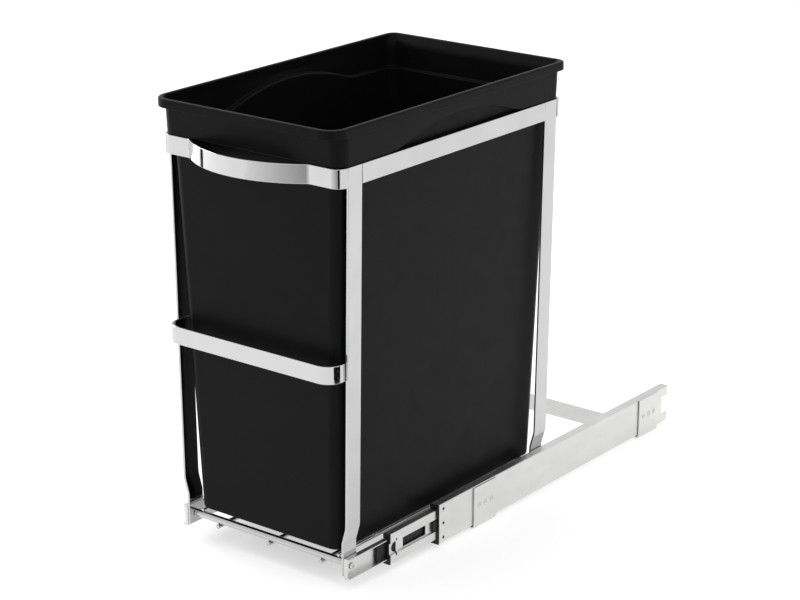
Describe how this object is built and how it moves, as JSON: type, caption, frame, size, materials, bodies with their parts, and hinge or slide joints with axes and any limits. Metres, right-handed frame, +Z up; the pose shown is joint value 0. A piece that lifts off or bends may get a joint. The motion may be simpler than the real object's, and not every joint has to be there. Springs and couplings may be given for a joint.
{
  "type": "pull-out kitchen bin",
  "caption": "Under-counter pull-out bin: a deep tapered plastic bucket hanging in a chromed strap frame with a bowed front handle, on telescopic ball slides and floor plates.",
  "frame": {"origin": "centre of the front floor plate's underside, on the cabinet floor, half way between the slides", "axes": "+Z up, -Y towards the user (the way the bin pulls out), +X to the right seen from the front"},
  "size_m": [0.242, 0.6434, 0.4899],
  "materials": {
    "bucket_plastic": "fine satin moulded polypropylene",
    "black_nose_plastic": "moulded acetal, matt",
    "chrome_strap": "bright chromium plate on steel strap and wire",
    "zinc_steel": "bright zinc plate on rolled steel sheet",
    "screw_steel": "zinc plated screw"
  },
  "bodies": {
    "rails": {"cabinet_member_left": "zinc_steel", "cabinet_member_right": "zinc_steel", "cabinet_stop_left": "black_nose_plastic", "cabinet_stop_right": "black_nose_plastic", "front_floor_plate": "zinc_steel", "rear_buffer_left": "black_nose_plastic", "rear_buffer_right": "black_nose_plastic", "rear_floor_plate": "zinc_steel"},
    "bucket": {"bucket": "bucket_plastic"},
    "intermediate_left": {"intermediate_member_left": "zinc_steel", "intermediate_stop_left": "black_nose_plastic"},
    "outer_cage_left": {"outer_ball_cage_left": "zinc_steel"},
    "inner_cage_left": {"inner_ball_cage_left": "zinc_steel"},
    "intermediate_right": {"intermediate_member_right": "zinc_steel", "intermediate_stop_right": "black_nose_plastic"},
    "outer_cage_right": {"outer_ball_cage_right": "zinc_steel"},
    "inner_cage_right": {"inner_ball_cage_right": "zinc_steel"},
    "frame": {"drawer_member_left": "zinc_steel", "drawer_member_right": "zinc_steel", "front_foot_screw_left": "screw_steel", "front_foot_screw_right": "screw_steel", "front_guard_bar": "chrome_strap", "front_handle": "chrome_strap", "front_post_left": "chrome_strap", "front_post_right": "chrome_strap", "guide_block_left": "black_nose_plastic", "guide_block_right": "black_nose_plastic", "rear_band": "chrome_strap", "rear_foot_screw_left": "screw_steel", "rear_foot_screw_right": "screw_steel", "rear_post_left": "chrome_strap", "rear_post_right": "chrome_strap", "side_rail_left": "chrome_strap", "side_rail_right": "chrome_strap", "tray_cross_wire_1": "chrome_strap", "tray_cross_wire_2": "chrome_strap", "tray_cross_wire_3": "chrome_strap", "tray_front_rod": "chrome_strap", "tray_long_wire_1": "chrome_strap", "tray_long_wire_2": "chrome_strap", "tray_long_wire_3": "chrome_strap", "tray_rear_rod": "chrome_strap", "tray_side_wire_left": "chrome_strap", "tray_side_wire_right": "chrome_strap"}
  },
  "joints": [
    {"name": "pull_out", "type": "slide", "parent": "rails", "child": "frame", "axis": [0, -1, 0], "range_m": [-0.147, 0.31]},
    {"name": "intermediate_left_slide", "type": "slide", "parent": "rails", "child": "intermediate_left", "axis": [0, -1, 0], "range_m": [-0.0737, 0.1552]},
    {"name": "outer_cage_left_slide", "type": "slide", "parent": "rails", "child": "outer_cage_left", "axis": [0, -1, 0], "range_m": [-0.03695, 0.0777]},
    {"name": "inner_cage_left_slide", "type": "slide", "parent": "rails", "child": "inner_cage_left", "axis": [0, -1, 0], "range_m": [-0.11045, 0.2327]},
    {"name": "intermediate_right_slide", "type": "slide", "parent": "rails", "child": "intermediate_right", "axis": [0, -1, 0], "range_m": [-0.0737, 0.1552]},
    {"name": "outer_cage_right_slide", "type": "slide", "parent": "rails", "child": "outer_cage_right", "axis": [0, -1, 0], "range_m": [-0.03695, 0.0777]},
    {"name": "inner_cage_right_slide", "type": "slide", "parent": "rails", "child": "inner_cage_right", "axis": [0, -1, 0], "range_m": [-0.11045, 0.2327]},
    {"name": "bucket_lift", "type": "slide", "parent": "frame", "child": "bucket", "axis": [0, 0, 1], "range_m": [0, 0.45]}
  ],
  "couplings": [
    {"joint": "intermediate_left_slide", "follows": "pull_out", "ratio": 0.5},
    {"joint": "outer_cage_left_slide", "follows": "pull_out", "ratio": 0.25},
    {"joint": "inner_cage_left_slide", "follows": "pull_out", "ratio": 0.75},
    {"joint": "intermediate_right_slide", "follows": "pull_out", "ratio": 0.5},
    {"joint": "outer_cage_right_slide", "follows": "pull_out", "ratio": 0.25},
    {"joint": "inner_cage_right_slide", "follows": "pull_out", "ratio": 0.75}
  ]
}
